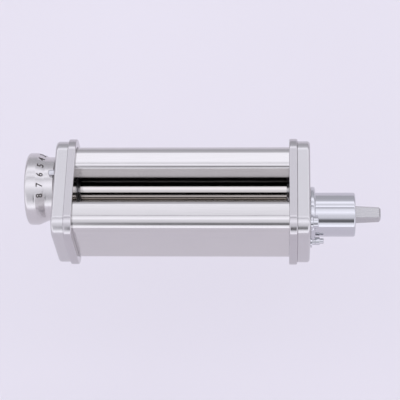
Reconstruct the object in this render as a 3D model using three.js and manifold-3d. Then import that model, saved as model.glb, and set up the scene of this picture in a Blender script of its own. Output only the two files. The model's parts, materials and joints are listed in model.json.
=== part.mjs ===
// Pasta roller attachment for a stand mixer: two steel rollers between cast end plates, under two
// bent covers. The front roller is driven through the spigot; the rear one sits in two eccentrics
// that the numbered knob turns, which sets the thickness of the dough sheet.
// Millimetres, +Z up, +X towards the mixer, -Y the front. The machine stands on its end plates.
import * as THREE from "three";
import { mergeVertices } from "three/addons/utils/BufferGeometryUtils.js";
import Module from "manifold-3d";

const wasm = await Module();
wasm.setup();

// ---------------------------------------------------------------- clearances
const GAP = 0.3; // between faces that touch or run on each other
const MARGIN = 1; // how far a cutting tool runs past the face that it cuts

// ---------------------------------------------------------------- frame
const BODY_LENGTH = 150; // between the inner faces of the end plates
const PLATE = { width: 78.4, height: 63.4, corner: 13.6, thick: 5.7, bevel: 0.8 };
const CAP = { step: 1.7, depth: 8.9, wall: 2.2, fillet: 2.2 };
const COVER = {
  sheet: 1,
  inset: 6.2, // upright wall inside the end plate's edge
  drop: 3, // highest line below the end plate's top
  bottomZ: 3.5,
  openingHalf: 9, // edge of the feed opening
  shoulder: 8.2, // from that edge to the flat top, along Y
  innerBend: 4.5, // outer radii of the bends
  outerBend: 10,
  lowerBend: 9,
  lipSlope: 59, // degrees below the horizontal at which the lip runs down
  topSlope: 6, // degrees that the top falls away outwards
  returnFlange: 5.3, // under the machine
  groove: 1.5, // depth of the grooves in the end plates
};
const TIE_ROD = { radius: 3.5, fromWall: 6.8, fromTop: 10.7, fromBottom: 6.9, tapped: 10 };
const ROD_SCREW = { shank: 1.8, head: 3.8, headHeight: 2.6, socket: 1.5, socketDepth: 1.4 };
const CAP_SCREW = { shank: 1.4, head: 2.9, headHeight: 1.5, inset: 8.6, pillar: 3.6, socket: 1.1 };

// ---------------------------------------------------------------- rollers and drive
const KNOB_AXIS = { y: 10.5, z: PLATE.height / 2 };
const THROW = 1.25; // eccentricity of the rear roller's bearings
const REST_ANGLE = 243; // degrees from +Y towards +Z at which the rear roller's axis lies, at setting 6
const NARROWEST = { angle: 207, gap: 0.4 }; // the same angle at setting 8, and the nip there
const ROLLER_RADIUS = 9.5;
const SHAFT_RADIUS = 4;
const BUSH = { wall: 1.7, flange: 7.2, flangeThick: 1.4 };
const SCRAPER = {
  sheet: 1,
  ear: 0.8,
  earStep: 0.3,
  width: 8.5,
  lead: 20, // degrees from the lowest point of the roller to the blade's edge, on the dough's side
  tilt: 25, // degrees that the blade falls away from the dough
  webInner: 2,
  webOuter: 6,
};
const GEAR = { teeth: 10, addendum: 2, tipWidth: 0.7, rootWidth: 1.9, offPlate: 1.3, endPlay: 0.8 };
const SNAP_RING = { wall: 1.6, thick: 1, groove: 0.5 };

// ---------------------------------------------------------------- mixer side
const SPIGOT = {
  flange: 19.8, // radii
  flangeThick: 3.2,
  tube: 15.6,
  length: 28,
  bore: 10,
  register: 11.7, // boss that centres the spigot in the cap
  bushLength: 9,
  bushWall: 2,
  earThick: 1.3,
};
const DRIVE = { neck: 6, acrossFlats: 9.4, tipFlats: 8.2, length: 18, chamfer: 1.2, corner: 0.8 };
const LOCATING_PIN = { radius: 2.7, length: 6.6, tip: 1.9, tipLength: 2.7, pitch: 19.2, angle: 191 };
const MOUNT_SCREW = { head: 4.25, headHeight: 3.6, shank: 1.9, pitch: 24.3, angle: 128.7, socket: 2 };

// ---------------------------------------------------------------- knob side
const ECCENTRIC = { armClear: 0.73, armRoot: 2.1, armThick: 1, armHalfWidth: 3, armEnd: 2.5 };
const LINK_BAR = { radius: 2, clear: 0.5, angle: -20 };
const SPINDLE = { hub: 6, radius: 4.5, flats: 7.2, length: 13.6 };
const KNOB = {
  rim: 25.8,
  rimWidth: 7.2,
  neck: 22.8,
  coneLength: 7,
  length: 20.2, // from the back face to the outer face
  standOff: 1.4, // back face to cap
  edge: 1.4,
  web: 4, // wall behind the spring
  rimWeb: 4.5, // further thickness of the wall under the rim
  recess: 18.5, // inside radius of the hollow rim
  springWell: 8.2,
  lid: 2,
  lidRadius: 20.5,
};
const SETTINGS = { count: 8, step: 18, current: 6 };
const DETENT = { pitch: 18.5, pin: 1.5, hole: 2.1, depth: 4 };
const INDEX_PIN = { radius: 2, length: 4.4, pitch: 25.1, shank: 1.2, shankLength: 3.4 };
const SPRING = { wire: 0.5, radius: 6, turns: 3 };
const SPINDLE_SCREW = { shank: 1.8, depth: 8, head: 3.4, headHeight: 2.6, washer: 7.4, washerThick: 1.2 };

// ---------------------------------------------------------------- places worked out from the sizes
// The point at a radius and an angle, from +Y towards +Z, round an axis along X.
function polar(axis, radius, degrees) {
  const angle = THREE.MathUtils.degToRad(degrees);
  return { y: axis.y + radius * Math.cos(angle), z: axis.z + radius * Math.sin(angle) };
}

const INNER = BODY_LENGTH / 2;
const OUTER = INNER + PLATE.thick;
const CAP_FACE = OUTER + CAP.depth;
const CAP_BASE = OUTER + GAP;
const CAP_INSIDE = CAP_FACE - CAP.wall;
const CENTRE_Z = PLATE.height / 2;
const KNOB_BACK = CAP_FACE + KNOB.standOff;
const KNOB_FACE = KNOB_BACK + KNOB.length;
const FLANGE_BACK = CAP_FACE + GAP;
const FLANGE_FACE = FLANGE_BACK + SPIGOT.flangeThick;
const SPIGOT_END = FLANGE_FACE + SPIGOT.length;
const DRIVE_END = SPIGOT_END + DRIVE.length;
const REAR_AXIS = polar(KNOB_AXIS, THROW, REST_ANGLE);
const SHORTEST = 2 * ROLLER_RADIUS + NARROWEST.gap; // between the rollers' axes at setting 8
const FRONT_AXIS = {
  y: polar(KNOB_AXIS, THROW, NARROWEST.angle).y - SHORTEST,
  z: KNOB_AXIS.z,
};
const GEAR_TIP = SHORTEST / 2 + GEAR.addendum;
const GEAR_ROOT = SHORTEST - GEAR_TIP - GAP;
const BUSH_OUTER = SHAFT_RADIUS + GAP + BUSH.wall;
const EAR_RADIUS = ROLLER_RADIUS - SCRAPER.earStep;
const ARM_INNER = EAR_RADIUS + THROW + ECCENTRIC.armClear; // clears the ear as it is carried round
const ECCENTRIC_RADIUS = ARM_INNER + ECCENTRIC.armRoot;
const LINK_PITCH = ECCENTRIC_RADIUS + LINK_BAR.radius + LINK_BAR.clear;
const EAR_OUTER = INNER - GAP;
const EAR_INNER = EAR_OUTER - SCRAPER.ear;
const FLANGE_OUTER = EAR_INNER - GAP;
const FLANGE_INNER = FLANGE_OUTER - BUSH.flangeThick;
const ROLLER_HALF = FLANGE_INNER - GAP;
const ECCENTRIC_FLOOR = OUTER - 1.1; // end of the blind bore under the spindle
const SHOULDER = KNOB_BACK - 0.5; // where the spindle narrows
const WELL_FLOOR = KNOB_BACK + KNOB.web;
const SPINDLE_END = SHOULDER + SPINDLE.length;
const GEAR_NEAR = OUTER + GEAR.offPlate;
const GEAR_FAR = CAP_INSIDE - GEAR.endPlay;
const WALL_Y = PLATE.width / 2 - COVER.inset;
const COVER_TOP = PLATE.height - COVER.drop;

// ---------------------------------------------------------------- materials
const metal = (color, roughness) =>
  new THREE.MeshStandardMaterial({ color, roughness, metalness: 1 });
const FINISH = {
  brushed: metal(0xc9c9cc, 0.35),
  satin: metal(0xb9bac0, 0.4),
  polished: metal(0xe2e3e6, 0.12),
  steel: metal(0x9a9ba0, 0.3),
  bronze: metal(0xb08d57, 0.45),
  zinc: metal(0xa9aaae, 0.5),
};

// ---------------------------------------------------------------- shape tools
// The plane of an outline is (Y, Z); its thickness runs along X.
const OUTLINE_TO_X = new THREE.Matrix4().makeBasis(
  new THREE.Vector3(0, 1, 0),
  new THREE.Vector3(0, 0, 1),
  new THREE.Vector3(1, 0, 0),
);

function solid(geometry) {
  const bare = geometry.clone();
  bare.deleteAttribute("normal");
  bare.deleteAttribute("uv");
  const merged = mergeVertices(bare, 1e-4);
  return new wasm.Manifold(
    new wasm.Mesh({
      numProp: 3,
      vertProperties: merged.attributes.position.array,
      triVerts: new Uint32Array(merged.index.array),
    }),
  );
}

function geometryOf(manifold) {
  const { numProp, vertProperties, triVerts } = manifold.getMesh();
  const points = new Float32Array((vertProperties.length / numProp) * 3);
  for (let i = 0; i * 3 < points.length; i++)
    points.set(vertProperties.subarray(i * numProp, i * numProp + 3), i * 3);
  const geometry = new THREE.BufferGeometry();
  geometry.setAttribute("position", new THREE.BufferAttribute(points, 3));
  geometry.setIndex(new THREE.BufferAttribute(new Uint32Array(triVerts), 1));
  return geometry;
}

// An outline of [y, z] points, pushed from one X to another.
function prism(points, fromX, toX) {
  const shape = new THREE.Shape(points.map(([y, z]) => new THREE.Vector2(y, z)));
  const depth = toX - fromX;
  const geometry = new THREE.ExtrudeGeometry(shape, { depth, bevelEnabled: false });
  return solid(geometry.applyMatrix4(OUTLINE_TO_X).translate(fromX, 0, 0));
}

// A profile of [x, radius] points, in order of x along its outside, turned about a line along X.
function turned(profile, { y, z }, segments = 32) {
  const points = profile.map(([x, radius]) => new THREE.Vector2(radius, x));
  const geometry = new THREE.LatheGeometry(points, segments);
  return solid(geometry.rotateZ(-Math.PI / 2).translate(0, y, z));
}

const rod = (radius, fromX, toX, axis, segments = 20) =>
  turned([[fromX, 0], [fromX, radius], [toX, radius], [toX, 0]], axis, segments);

const tube = (outer, inner, fromX, toX, axis, segments = 32) =>
  rod(outer, fromX, toX, axis, segments).subtract(
    rod(inner, fromX - MARGIN, toX + MARGIN, axis, segments),
  );

function roundedRectangle(width, height, corner, centreZ, steps = 4) {
  const points = [];
  for (let quarter = 0; quarter < 4; quarter++) {
    const signY = quarter === 0 || quarter === 3 ? 1 : -1;
    const signZ = quarter < 2 ? 1 : -1;
    for (let step = 0; step <= steps; step++) {
      const angle = (Math.PI / 2) * (quarter + step / steps);
      points.push([
        signY * (width / 2 - corner) + corner * Math.cos(angle),
        centreZ + signZ * (height / 2 - corner) + corner * Math.sin(angle),
      ]);
    }
  }
  return points;
}

// A rounded rectangle pushed along X whose edge at toX is rounded off.
function filletedBlock(width, height, corner, fromX, toX, fillet, steps) {
  const layers = [];
  const at = (inset) =>
    roundedRectangle(width - 2 * inset, height - 2 * inset, corner - inset, CENTRE_Z);
  layers.push(prism(at(0), fromX, toX - fillet));
  for (let step = 0; step < steps; step++) {
    const low = (Math.PI / 2) * (step / steps);
    const high = (Math.PI / 2) * ((step + 1) / steps);
    layers.push(
      frustum(
        at(fillet * (1 - Math.cos(low))),
        at(fillet * (1 - Math.cos(high))),
        toX - fillet * (1 - Math.sin(low)),
        toX - fillet * (1 - Math.sin(high)),
      ),
    );
  }
  return layers.reduce((whole, layer) => whole.add(layer));
}

// The solid between two outlines with as many points each.
function frustum(near, far, nearX, farX) {
  const count = near.length;
  const middle = (points, axis) => points.reduce((sum, p) => sum + p[axis], 0) / count;
  const positions = [];
  for (const [points, x] of [[near, nearX], [far, farX]])
    for (const [y, z] of points) positions.push(x, y, z);
  positions.push(nearX, middle(near, 0), middle(near, 1), farX, middle(far, 0), middle(far, 1));
  const index = [];
  for (let i = 0; i < count; i++) {
    const next = (i + 1) % count;
    index.push(i, next, count + next, i, count + next, count + i);
    index.push(2 * count, next, i, 2 * count + 1, count + i, count + next);
  }
  const geometry = new THREE.BufferGeometry();
  geometry.setAttribute("position", new THREE.Float32BufferAttribute(positions, 3));
  geometry.setIndex(index);
  return solid(geometry);
}

// The closed outline of a bent sheet: its outer line, and the same line moved inwards.
function sheetOutline(line, thickness, side) {
  const inner = line.map((point, i) => {
    const before = line[Math.max(i - 1, 0)];
    const after = line[Math.min(i + 1, line.length - 1)];
    const normal = (a, b) => {
      const length = Math.hypot(b[0] - a[0], b[1] - a[1]);
      return [(side * (b[1] - a[1])) / length, (-side * (b[0] - a[0])) / length];
    };
    const first = i === 0 ? normal(point, after) : normal(before, point);
    const second = i === line.length - 1 ? first : normal(point, after);
    const scale = thickness / (1 + first[0] * second[0] + first[1] * second[1]);
    return [
      point[0] + (first[0] + second[0]) * scale,
      point[1] + (first[1] + second[1]) * scale,
    ];
  });
  return [...line, ...inner.reverse()];
}

// A machine screw along X: shank from tipX to its head, which ends in a hexagon socket.
function screw(axis, tipX, headX, towards, { shank, head, headHeight, socket, socketDepth = 1.4 }) {
  const end = headX + towards * headHeight;
  const edge = 0.4;
  const profile = [
    [tipX, 0],
    [tipX, shank],
    [headX, shank],
    [headX, head],
    [end - towards * edge, head],
    [end, head - edge],
    [end, 0],
  ];
  const floor = end - towards * socketDepth;
  const past = end + towards * MARGIN;
  const hexagon = rod(socket, Math.min(floor, past), Math.max(floor, past), axis, 6);
  return turned(ordered(profile, towards), axis, 14).subtract(hexagon);
}

// Lathe profiles run towards +X along their outside, so one drawn towards -X is turned round.
const ordered = (profile, side) => (side > 0 ? profile : profile.reverse());

const group = new THREE.Group();
function piece(name, manifold, material) {
  const mesh = new THREE.Mesh(geometryOf(manifold), material);
  mesh.name = name;
  group.add(mesh);
}

// x on the side asked for: -1 is the knob's end, 1 is the mixer's end.
const span = (side, near, far) => (side > 0 ? [near, far] : [-far, -near]);

// ---------------------------------------------------------------- covers
// Outer line of one cover from the feed opening, over the top, down the wall and under.
function coverLine(side, grow = 0) {
  const { openingHalf, shoulder, innerBend, outerBend, lowerBend, bottomZ, returnFlange } = COVER;
  const slope = COVER.topSlope;
  const start = { y: openingHalf + shoulder, z: COVER_TOP };
  const inner = polar(start, -innerBend, 90 - slope);
  const lipTop = polar(inner, innerBend, 90 + COVER.lipSlope);
  const lipFall = (lipTop.y - openingHalf) * Math.tan(THREE.MathUtils.degToRad(COVER.lipSlope));
  const upperY = WALL_Y - outerBend;
  const run = upperY + outerBend * Math.sin(THREE.MathUtils.degToRad(slope)) - start.y;
  const startZ = start.z - run * Math.tan(THREE.MathUtils.degToRad(slope));
  const upper = { y: upperY, z: startZ - outerBend * Math.cos(THREE.MathUtils.degToRad(slope)) };
  const lower = { y: WALL_Y - lowerBend, z: bottomZ + lowerBend };
  const line = [
    [openingHalf, lipTop.z - lipFall],
    ...arc(inner, innerBend, 90 + COVER.lipSlope, 90 - slope, 4),
    ...arc(upper, outerBend, 90 - slope, 0, 6),
    ...arc(lower, lowerBend, 0, -90, 6),
    [lower.y - returnFlange, bottomZ],
  ];
  if (grow) stretchEnds(line, grow);
  return line.map(([y, z]) => [side * y, z]);
}

// Points along an arc between two angles, both ends included.
function arc(centre, radius, from, to, steps) {
  return Array.from({ length: steps + 1 }, (_, i) => {
    const { y, z } = polar(centre, radius, from + ((to - from) * i) / steps);
    return [y, z];
  });
}

// Makes a line longer by the same amount at both of its ends.
function stretchEnds(line, amount) {
  for (const [end, next] of [[0, 1], [line.length - 1, line.length - 2]]) {
    const [a, b] = [line[end], line[next]];
    const length = Math.hypot(a[0] - b[0], a[1] - b[1]);
    line[end] = [a[0] + ((a[0] - b[0]) / length) * amount, a[1] + ((a[1] - b[1]) / length) * amount];
  }
}

function cover(side) {
  const reach = INNER + COVER.groove - GAP;
  return prism(sheetOutline(coverLine(side), COVER.sheet, side), -reach, reach);
}

function coverGroove(side, fromX, toX) {
  const outer = sheetOutline(coverLine(side, GAP), -GAP, side);
  const inner = sheetOutline(coverLine(side, GAP), COVER.sheet + GAP, side);
  return prism(outer, fromX, toX).add(prism(inner, fromX, toX));
}

// ---------------------------------------------------------------- end plates and caps
const tieRods = [-1, 1].flatMap((side) =>
  [COVER_TOP - TIE_ROD.fromTop, COVER.bottomZ + TIE_ROD.fromBottom].map((z) => ({
    y: side * (WALL_Y - TIE_ROD.fromWall),
    z,
  })),
);
const capScrewAxes = [-1, 1].map((side) => ({
  y: side * (PLATE.width / 2 - CAP_SCREW.inset),
  z: CENTRE_Z,
}));

function endPlate(side) {
  const { width, height, corner, bevel } = PLATE;
  const full = roundedRectangle(width, height, corner, CENTRE_Z);
  const small = roundedRectangle(width - 2 * bevel, height - 2 * bevel, corner - bevel, CENTRE_Z);
  const [low, high] = span(side, INNER, OUTER);
  let plate = prism(full, low + bevel, high - bevel)
    .add(frustum(small, full, low, low + bevel))
    .add(frustum(full, small, high - bevel, high));
  const through = span(side, INNER - MARGIN, OUTER + MARGIN);
  plate = plate
    .subtract(rod(ECCENTRIC_RADIUS + GAP, ...through, KNOB_AXIS, 36))
    .subtract(rod(BUSH_OUTER + GAP, ...through, FRONT_AXIS, 24));
  for (const axis of tieRods) plate = plate.subtract(rod(ROD_SCREW.shank + GAP, ...through, axis, 16));
  const tapped = span(side, OUTER - 4, OUTER + MARGIN);
  for (const axis of capScrewAxes) plate = plate.subtract(rod(CAP_SCREW.shank + GAP, ...tapped, axis, 12));
  const grooves = span(side, INNER - MARGIN, INNER + COVER.groove);
  for (const half of [-1, 1]) plate = plate.subtract(coverGroove(half, ...grooves));
  return plate;
}

function endCap(side) {
  const width = PLATE.width - 2 * CAP.step;
  const height = PLATE.height - 2 * CAP.step;
  const corner = PLATE.corner - CAP.step;
  const block = filletedBlock(width, height, corner, CAP_BASE, CAP_FACE, CAP.fillet, 2);
  const inside = roundedRectangle(
    width - 2 * CAP.wall,
    height - 2 * CAP.wall,
    corner - CAP.wall,
    CENTRE_Z,
  );
  let cap = block.subtract(prism(inside, CAP_BASE - MARGIN, CAP_INSIDE));
  const recess = CAP_FACE - CAP_SCREW.headHeight;
  for (const axis of capScrewAxes) {
    const hole = rod(CAP_SCREW.shank + GAP, CAP_BASE - MARGIN, CAP_FACE + MARGIN, axis, 12);
    const seat = rod(CAP_SCREW.head + GAP, recess - GAP, CAP_FACE + MARGIN, axis, 20);
    cap = cap
      .add(rod(CAP_SCREW.pillar, CAP_BASE, CAP_INSIDE + GAP, axis, 20))
      .subtract(hole)
      .subtract(seat);
  }
  return side > 0 ? cap : cap.scale([-1, 1, 1]);
}

const indexAxis = { y: KNOB_AXIS.y, z: KNOB_AXIS.z + INDEX_PIN.pitch };
const detentAxis = polar(KNOB_AXIS, DETENT.pitch, 90);

function knobEndCap() {
  const through = [-CAP_FACE - MARGIN, -CAP_INSIDE + MARGIN];
  return endCap(-1)
    .subtract(rod(SPINDLE.hub + GAP, ...through, KNOB_AXIS, 32))
    .subtract(rod(INDEX_PIN.shank + GAP, ...through, indexAxis, 12))
    .subtract(rod(DETENT.pin + GAP, ...through, detentAxis, 16));
}

const mountScrewAxes = [0, 180].map((turn) =>
  polar(FRONT_AXIS, MOUNT_SCREW.pitch, MOUNT_SCREW.angle + turn),
);
const locatingAxis = polar(FRONT_AXIS, LOCATING_PIN.pitch, LOCATING_PIN.angle);

function hubEndCap() {
  const through = [CAP_INSIDE - MARGIN, CAP_FACE + MARGIN];
  let cap = endCap(1).subtract(rod(SPIGOT.register + GAP, ...through, FRONT_AXIS, 40));
  for (const axis of mountScrewAxes) cap = cap.subtract(rod(MOUNT_SCREW.shank + GAP, ...through, axis, 12));
  return cap;
}

// ---------------------------------------------------------------- tie rods and screws
function tieRod(axis) {
  const reach = INNER - GAP;
  let bar = rod(TIE_ROD.radius, -reach, reach, axis, 20);
  for (const side of [-1, 1]) {
    const hole = span(side, reach - TIE_ROD.tapped, reach + MARGIN);
    bar = bar.subtract(rod(ROD_SCREW.shank + GAP, ...hole, axis, 12));
  }
  return bar;
}

const rodScrew = (axis, side) =>
  screw(axis, side * (INNER - TIE_ROD.tapped + 2), side * CAP_BASE, side, ROD_SCREW);

const capScrew = (axis, side) =>
  screw(axis, side * (OUTER - 3), side * (CAP_FACE - CAP_SCREW.headHeight), side, {
    ...CAP_SCREW,
    socketDepth: 1,
  });

// ---------------------------------------------------------------- rollers
// A roller on its shaft, with a bush's flange let into each end.
function roller(axis) {
  let body = tube(ROLLER_RADIUS, SHAFT_RADIUS + GAP, -ROLLER_HALF, ROLLER_HALF, axis, 40);
  for (const side of [-1, 1]) {
    const ends = span(side, ROLLER_HALF, FLANGE_OUTER);
    body = body.add(tube(ROLLER_RADIUS, BUSH.flange + GAP, ...ends, axis, 40));
  }
  return body;
}

// A flanged bush; end is how far out its sleeve reaches.
function bush(axis, side, end) {
  const bore = SHAFT_RADIUS + GAP;
  const profile = [
    [FLANGE_INNER, bore],
    [FLANGE_INNER, BUSH.flange],
    [FLANGE_OUTER, BUSH.flange],
    [FLANGE_OUTER, BUSH_OUTER],
    [end, BUSH_OUTER],
    [end, bore],
    [FLANGE_INNER, bore],
  ];
  return turned(ordered(profile.map(([x, radius]) => [side * x, radius]), side), axis, 24);
}

function gear(axis, phase) {
  const { teeth, tipWidth, rootWidth } = GEAR;
  const points = [];
  const pitch = 360 / teeth;
  for (let tooth = 0; tooth < teeth; tooth++) {
    const middle = (tooth + phase) * pitch;
    const halfTip = THREE.MathUtils.radToDeg(tipWidth / 2 / GEAR_TIP);
    const halfRoot = THREE.MathUtils.radToDeg(rootWidth / 2 / GEAR_ROOT);
    const corners = [
      [GEAR_ROOT, -halfRoot],
      [GEAR_TIP, -halfTip],
      [GEAR_TIP, halfTip],
      [GEAR_ROOT, halfRoot],
    ];
    for (const [radius, offset] of corners) {
      const { y, z } = polar(axis, radius, middle + offset);
      points.push([y, z]);
    }
  }
  return prism(points, GEAR_NEAR, GEAR_FAR).subtract(
    rod(SHAFT_RADIUS + GAP, GEAR_NEAR - MARGIN, GEAR_FAR + MARGIN, axis, 24),
  );
}

function driveShaft() {
  const left = -(OUTER + 3);
  const shoulder = CAP_INSIDE + CAP.wall / 2;
  const round = rod(SHAFT_RADIUS, left, shoulder, FRONT_AXIS, 24)
    .add(rod(DRIVE.neck, shoulder, SPIGOT_END, FRONT_AXIS, 32))
    .subtract(ringGroove(FRONT_AXIS, -1));
  const { acrossFlats, tipFlats, chamfer, corner } = DRIVE;
  const square = (flats) =>
    roundedRectangle(flats, flats, corner, 0, 1).map(([y, z]) => [y + FRONT_AXIS.y, z + FRONT_AXIS.z]);
  const tip = frustum(square(acrossFlats), square(tipFlats), SPIGOT_END, DRIVE_END - chamfer);
  const nose = frustum(square(tipFlats), square(tipFlats - 2 * chamfer), DRIVE_END - chamfer, DRIVE_END);
  return round.add(tip).add(nose);
}

// The groove of a snap ring, just outside the end plate.
const ringGroove = (axis, side) =>
  tube(
    SHAFT_RADIUS + MARGIN,
    SHAFT_RADIUS - SNAP_RING.groove - GAP,
    ...span(side, OUTER + GAP, OUTER + SNAP_RING.thick + 3 * GAP),
    axis,
    24,
  );

const snapRing = (axis, side) =>
  tube(
    SHAFT_RADIUS + SNAP_RING.wall,
    SHAFT_RADIUS - SNAP_RING.groove,
    ...span(side, OUTER + 2 * GAP, OUTER + SNAP_RING.thick + 2 * GAP),
    axis,
    24,
  ).subtract(
    prism(
      [
        [axis.y - 1.5, axis.z],
        [axis.y + 1.5, axis.z],
        [axis.y + 1.5, axis.z - 2 * SHAFT_RADIUS - SNAP_RING.wall],
        [axis.y - 1.5, axis.z - 2 * SHAFT_RADIUS - SNAP_RING.wall],
      ],
      ...span(side, OUTER, OUTER + 3),
    ),
  );

const rearShaft = () => rod(SHAFT_RADIUS, -(ECCENTRIC_FLOOR - 2 * GAP), CAP_INSIDE - GAP, REAR_AXIS, 24);

// ---------------------------------------------------------------- scrapers
// A blade under each roller, hung from the bushes by an ear at each end.
function scraper(axis, side) {
  const edge = polar(axis, ROLLER_RADIUS + GAP, -90 - side * SCRAPER.lead);
  const fall = THREE.MathUtils.degToRad(SCRAPER.tilt);
  const tail = {
    y: edge.y + side * SCRAPER.width * Math.cos(fall),
    z: edge.z - SCRAPER.width * Math.sin(fall),
  };
  const line = [[edge.y, edge.z], [tail.y, tail.z]];
  const blade = prism(sheetOutline(line, SCRAPER.sheet, side), -EAR_OUTER, EAR_OUTER);
  const ears = [-1, 1].map((end) => {
    const [low, high] = span(end, EAR_INNER, EAR_OUTER);
    const web = [
      [axis.y - side * SCRAPER.webInner, axis.z - BUSH_OUTER - SCRAPER.sheet],
      [axis.y + side * SCRAPER.webOuter, axis.z - BUSH_OUTER + SCRAPER.sheet],
      [tail.y, tail.z],
      [edge.y, edge.z],
    ];
    return rod(EAR_RADIUS, low, high, axis, 20)
      .add(prism(web, low, high))
      .subtract(rod(BUSH_OUTER + GAP, low - MARGIN, high + MARGIN, axis, 20));
  });
  return blade.add(ears[0]).add(ears[1]);
}

// ---------------------------------------------------------------- spigot and what locates it
function spigot() {
  const { flange, tube: neck, bore, register, bushLength, bushWall, earThick } = SPIGOT;
  const dome = 1.1;
  let body = turned(
    [
      [CAP_INSIDE + GAP, 0],
      [CAP_INSIDE + GAP, register],
      [FLANGE_BACK, register],
      [FLANGE_BACK, flange],
      [FLANGE_FACE - 2 * dome, flange],
      [FLANGE_FACE - dome, flange - 0.3 * dome],
      [FLANGE_FACE, flange - dome],
      [FLANGE_FACE, neck],
      [SPIGOT_END - 1, neck],
      [SPIGOT_END, neck - 1],
      [SPIGOT_END, 0],
    ],
    FRONT_AXIS,
    36,
  );
  for (const axis of mountScrewAxes) {
    const ear = rod(MOUNT_SCREW.head + 1, FLANGE_BACK, FLANGE_BACK + earThick, axis, 16);
    body = body.add(ear);
  }
  body = body.add(rod(LOCATING_PIN.radius + 1.9, FLANGE_BACK, FLANGE_FACE - 2 * dome, locatingAxis, 16));
  const seat = SPIGOT_END - bushLength;
  body = body
    .subtract(rod(bore, CAP_INSIDE - MARGIN, seat - bushWall, FRONT_AXIS, 24))
    .subtract(rod(DRIVE.neck + bushWall + 2 * GAP, seat, SPIGOT_END + MARGIN, FRONT_AXIS, 24))
    .subtract(rod(DRIVE.neck + GAP, seat - 2 * bushWall, SPIGOT_END, FRONT_AXIS, 24));
  const through = [FLANGE_BACK - MARGIN, FLANGE_FACE + MARGIN];
  for (const axis of mountScrewAxes) {
    body = body
      .subtract(rod(MOUNT_SCREW.shank + GAP, ...through, axis, 12))
      .subtract(rod(MOUNT_SCREW.head + GAP, FLANGE_BACK + earThick, FLANGE_FACE + MARGIN, axis, 16));
  }
  return body.subtract(rod(LOCATING_PIN.radius + GAP, ...through, locatingAxis, 20));
}

const spigotBush = () =>
  tube(
    DRIVE.neck + SPIGOT.bushWall + GAP,
    DRIVE.neck + GAP,
    SPIGOT_END - SPIGOT.bushLength + GAP,
    SPIGOT_END,
    FRONT_AXIS,
    24,
  );

function locatingPin() {
  const { radius, length, tip, tipLength } = LOCATING_PIN;
  const end = FLANGE_BACK + length;
  return turned(
    [
      [FLANGE_BACK, 0],
      [FLANGE_BACK, radius],
      [end - 0.5, radius],
      [end, radius - 0.5],
      [end, tip],
      [end + tipLength - 0.5, tip],
      [end + tipLength, tip - 0.6],
      [end + tipLength, 0],
    ],
    locatingAxis,
    16,
  );
}

const mountScrew = (axis) =>
  screw(axis, CAP_INSIDE - 2, FLANGE_BACK + SPIGOT.earThick + GAP, 1, { ...MOUNT_SCREW, socketDepth: 2 });

// ---------------------------------------------------------------- eccentrics and link
function armAndDisc(side) {
  const { armThick, armHalfWidth, armEnd } = ECCENTRIC;
  const disc = rod(ECCENTRIC_RADIUS, ...span(side, INNER + GAP, OUTER), KNOB_AXIS, 36);
  const bar = polar(KNOB_AXIS, LINK_PITCH, LINK_BAR.angle);
  const along = THREE.MathUtils.degToRad(LINK_BAR.angle);
  const corner = (distance, across) => [
    KNOB_AXIS.y + distance * Math.cos(along) - across * Math.sin(along),
    KNOB_AXIS.z + distance * Math.sin(along) + across * Math.cos(along),
  ];
  const flag = [
    corner(ARM_INNER, -armHalfWidth),
    corner(LINK_PITCH + armEnd, -armHalfWidth),
    corner(LINK_PITCH + armEnd, armHalfWidth),
    corner(ARM_INNER, armHalfWidth),
  ];
  const arm = prism(flag, ...span(side, EAR_OUTER - armThick, EAR_OUTER));
  const root = prism(flag, ...span(side, EAR_OUTER - armThick, INNER + 2 * GAP)).intersect(
    rod(ECCENTRIC_RADIUS, ...span(side, EAR_OUTER - MARGIN, INNER + MARGIN), KNOB_AXIS, 36),
  );
  return disc
    .add(arm)
    .add(root)
    .subtract(rod(LINK_BAR.radius - 0.5 + GAP, ...span(side, INNER - 4, INNER + GAP / 2), bar, 16));
}

function hubEccentric() {
  return armAndDisc(1).subtract(
    rod(BUSH_OUTER + GAP, INNER - MARGIN, OUTER + MARGIN, REAR_AXIS, 32),
  );
}

// Outline of the spindle's flatted part, or of the hole that it drives.
function flatted(radius, flats, axis) {
  const edge = Math.asin(flats / 2 / radius);
  const points = [];
  const steps = 5;
  for (const half of [0, Math.PI])
    for (let i = 0; i <= steps; i++) {
      const angle = half - edge + (2 * edge * i) / steps;
      points.push([axis.y + radius * Math.cos(angle), axis.z + radius * Math.sin(angle)]);
    }
  return points;
}

function knobEccentric() {
  const { hub, radius, flats } = SPINDLE;
  return armAndDisc(-1)
    .subtract(rod(BUSH_OUTER + GAP, -ECCENTRIC_FLOOR, -INNER + MARGIN, REAR_AXIS, 32))
    .add(rod(hub, -SHOULDER, -OUTER, KNOB_AXIS, 32))
    .add(prism(flatted(radius, flats, KNOB_AXIS), -SPINDLE_END, -SHOULDER))
    .subtract(
      rod(
        SPINDLE_SCREW.shank + GAP,
        -SPINDLE_END - MARGIN,
        -SPINDLE_END + SPINDLE_SCREW.depth,
        KNOB_AXIS,
        12,
      ),
    );
}

function linkBar() {
  const axis = polar(KNOB_AXIS, LINK_PITCH, LINK_BAR.angle);
  const shoulder = EAR_OUTER - ECCENTRIC.armThick - GAP;
  const end = INNER - GAP / 3;
  return rod(LINK_BAR.radius, -shoulder, shoulder, axis, 16).add(
    rod(LINK_BAR.radius - 0.5, -end, end, axis, 16),
  );
}

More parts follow.
